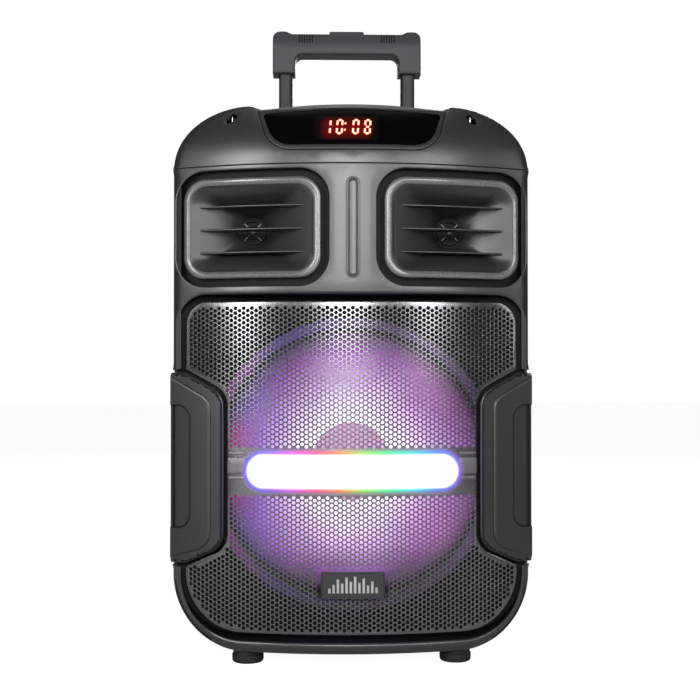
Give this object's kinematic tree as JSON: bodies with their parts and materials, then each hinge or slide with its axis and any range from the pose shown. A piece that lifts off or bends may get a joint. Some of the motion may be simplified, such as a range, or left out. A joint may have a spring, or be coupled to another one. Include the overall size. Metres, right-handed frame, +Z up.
{
  "type": "party speaker",
  "caption": "Tall trolley party speaker with a curved front: perforated woofer grille, light bar, louvred tweeter horns, display, side grips, rear wheels and a pull handle.",
  "frame": {"origin": "on the floor, under the middle of the bounding box", "axes": "+Z up, -Y is the front with the grille, +X to the right in the front view"},
  "size_m": [0.374, 0.316, 0.7076],
  "materials": {
    "shell": "dark grey moulded plastic with a fine sparkle texture",
    "trim": "black moulded plastic",
    "grille_steel": "dark powder-coated perforated steel",
    "steel": "plated steel",
    "aluminium": "dark anodised",
    "lens_glow": "frosted white, lit",
    "ring_glow": "frosted, lit violet",
    "display": "smoked gloss window",
    "digits": "lit red segments",
    "rubber": "black",
    "tyre": "black tread",
    "cone": "coated paper",
    "coil": "copper-wound former",
    "spider": "treated cloth",
    "ferrite": "sintered ferrite",
    "board": "circuit board",
    "battery": "sealed case",
    "handle": "grey moulded plastic"
  },
  "bodies": {
    "cabinet": {"rear_cabinet": "shell", "front_baffle": "shell", "top_hood": "shell", "control_panel": "shell", "woofer_grille": "grille_steel", "light_bar_tray": "trim", "light_bar_lens": "lens_glow", "light_bar_board": "board", "badge_plate": "trim", "side_grip_left": "shell", "side_grip_right": "shell", "strap_pin_left": "steel", "strap_pin_right": "steel", "foot_left": "rubber", "foot_right": "rubber", "woofer_frame": "aluminium", "woofer_surround": "rubber", "woofer_spider": "spider", "woofer_top_plate": "steel", "woofer_magnet": "ferrite", "woofer_yoke": "steel", "woofer_light_ring": "ring_glow", "horn_left": "trim", "horn_right": "trim", "tweeter_left": "trim", "tweeter_right": "trim", "display_lens": "display", "display_module": "digits", "control_board": "board", "input_sockets": "trim", "rear_panel": "aluminium", "power_inlet": "trim", "amplifier_board": "board", "battery": "battery", "wheel_axle": "steel", "outer_tube_left": "aluminium", "outer_tube_right": "aluminium"},
    "cone": {"woofer_cone": "cone", "dust_cap": "cone", "voice_coil": "coil"},
    "handle_middle": {"middle_tube_left": "aluminium", "middle_tube_right": "aluminium"},
    "handle_upper": {"inner_tube_left": "aluminium", "inner_tube_right": "aluminium", "handle_grip": "handle"},
    "release": {"release_button": "handle", "release_yoke": "aluminium"},
    "wheel_left": {"tyre_left": "tyre", "wheel_hub_left": "trim"},
    "wheel_right": {"tyre_right": "tyre", "wheel_hub_right": "trim"},
    "power_switch": {"power_switch": "trim"},
    "volume_knob": {"volume_knob": "trim"},
    "mic_knob": {"mic_knob": "trim"},
    "echo_knob": {"echo_knob": "trim"},
    "previous_button": {"previous_button": "rubber"},
    "play_button": {"play_button": "rubber"},
    "next_button": {"next_button": "rubber"},
    "mode_button": {"mode_button": "rubber"},
    "light_button": {"light_button": "rubber"}
  },
  "joints": [
    {"name": "cone_travel", "type": "slide", "parent": "cabinet", "child": "cone", "axis": [0, -1, 0], "range_m": [-0.004, 0.004], "stiffness_N_per_m": 2500},
    {"name": "handle_lower_slide", "type": "slide", "parent": "cabinet", "child": "handle_middle", "axis": [0, 0, 1], "range_m": [0, 0.19]},
    {"name": "handle_upper_slide", "type": "slide", "parent": "handle_middle", "child": "handle_upper", "axis": [0, 0, 1], "range_m": [0, 0.19]},
    {"name": "release_press", "type": "slide", "parent": "handle_upper", "child": "release", "axis": [0, 0, -1], "range_m": [0, 0.004], "stiffness_N_per_m": 1200, "springref_m": -0.005},
    {"name": "wheel_left_spin", "type": "hinge", "parent": "cabinet", "child": "wheel_left", "pos_m": [-0.142, 0.1155, 0.0425], "axis": [1, 0, 0], "continuous": true},
    {"name": "wheel_right_spin", "type": "hinge", "parent": "cabinet", "child": "wheel_right", "pos_m": [0.142, 0.1155, 0.0425], "axis": [1, 0, 0], "continuous": true},
    {"name": "power_rock", "type": "hinge", "parent": "cabinet", "child": "power_switch", "pos_m": [0.066, 0.1498, 0.235], "axis": [1, 0, 0], "range_deg": [0, 20]},
    {"name": "volume_turn", "type": "hinge", "parent": "cabinet", "child": "volume_knob", "pos_m": [0, -0.03, 0.569], "axis": [0, 0, 1], "range_deg": [-150, 150]},
    {"name": "mic_turn", "type": "hinge", "parent": "cabinet", "child": "mic_knob", "pos_m": [-0.056, -0.03, 0.569], "axis": [0, 0, 1], "range_deg": [-150, 150]},
    {"name": "echo_turn", "type": "hinge", "parent": "cabinet", "child": "echo_knob", "pos_m": [0.056, -0.03, 0.569], "axis": [0, 0, 1], "range_deg": [-150, 150]},
    {"name": "previous_press", "type": "slide", "parent": "cabinet", "child": "previous_button", "axis": [0, 0, -1], "range_m": [0, 0.0012], "stiffness_N_per_m": 400, "springref_m": -0.002},
    {"name": "play_press", "type": "slide", "parent": "cabinet", "child": "play_button", "axis": [0, 0, -1], "range_m": [0, 0.0012], "stiffness_N_per_m": 400, "springref_m": -0.002},
    {"name": "next_press", "type": "slide", "parent": "cabinet", "child": "next_button", "axis": [0, 0, -1], "range_m": [0, 0.0012], "stiffness_N_per_m": 400, "springref_m": -0.002},
    {"name": "mode_press", "type": "slide", "parent": "cabinet", "child": "mode_button", "axis": [0, 0, -1], "range_m": [0, 0.0012], "stiffness_N_per_m": 400, "springref_m": -0.002},
    {"name": "light_press", "type": "slide", "parent": "cabinet", "child": "light_button", "axis": [0, 0, -1], "range_m": [0, 0.0012], "stiffness_N_per_m": 400, "springref_m": -0.002}
  ]
}
